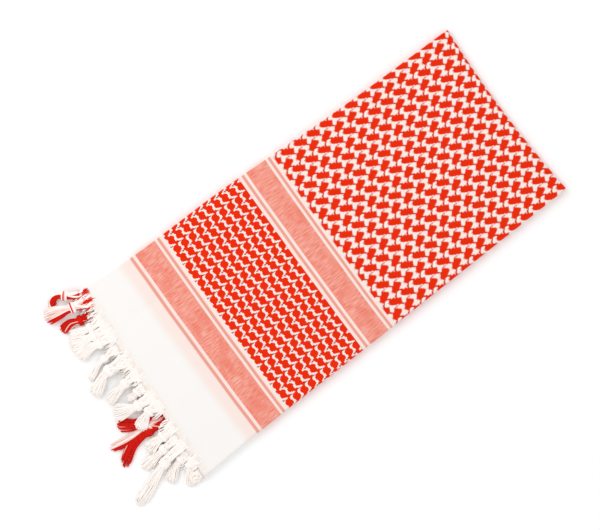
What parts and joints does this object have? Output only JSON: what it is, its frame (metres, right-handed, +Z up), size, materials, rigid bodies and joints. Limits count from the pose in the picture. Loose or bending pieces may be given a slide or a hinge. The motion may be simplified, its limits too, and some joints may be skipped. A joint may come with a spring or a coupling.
{
  "type": "folded woven headscarf with tasselled fringe",
  "caption": "Square cotton headscarf folded flat into an oblong pad, with knotted tassels along one end.",
  "frame": {"origin": "on the floor, under the middle of the whole scarf's box", "axes": "+X along the folded pad from the tassels to the last fold, +Y across it towards the open side, +Z up"},
  "size_m": [0.6244, 0.2762, 0.0097],
  "materials": {
    "patterned_cotton": "matt woven cotton, red figures on a white ground",
    "inner_cotton": "matt woven cotton, edges of the hidden plies",
    "cream_yarn": "soft cotton warp threads, knotted and brushed out",
    "red_yarn": "soft red cotton warp threads, knotted",
    "striped_yarn": "soft cotton warp threads, white and red together"
  },
  "bodies": {
    "root": {"outer_ply_top": "patterned_cotton", "outer_ply_under": "patterned_cotton", "hidden_plies": "inner_cotton", "tassel_01": "striped_yarn", "tassel_02": "striped_yarn", "tassel_03": "red_yarn", "tassel_04": "cream_yarn", "tassel_05": "cream_yarn", "tassel_06": "cream_yarn", "tassel_07": "cream_yarn", "tassel_08": "cream_yarn", "tassel_09": "cream_yarn", "tassel_10": "cream_yarn", "tassel_11": "cream_yarn", "tassel_12": "cream_yarn", "tassel_13": "red_yarn", "tassel_14": "red_yarn", "tassel_15": "striped_yarn", "tassel_16": "cream_yarn", "tassel_17": "cream_yarn", "tassel_18": "cream_yarn", "tassel_19": "cream_yarn", "tassel_20": "cream_yarn", "tassel_21": "cream_yarn", "tassel_22": "cream_yarn", "tassel_23": "cream_yarn", "tassel_24": "cream_yarn", "tassel_25": "cream_yarn", "tassel_26": "cream_yarn", "tassel_27": "cream_yarn", "tassel_28": "cream_yarn"}
  },
  "joints": []
}
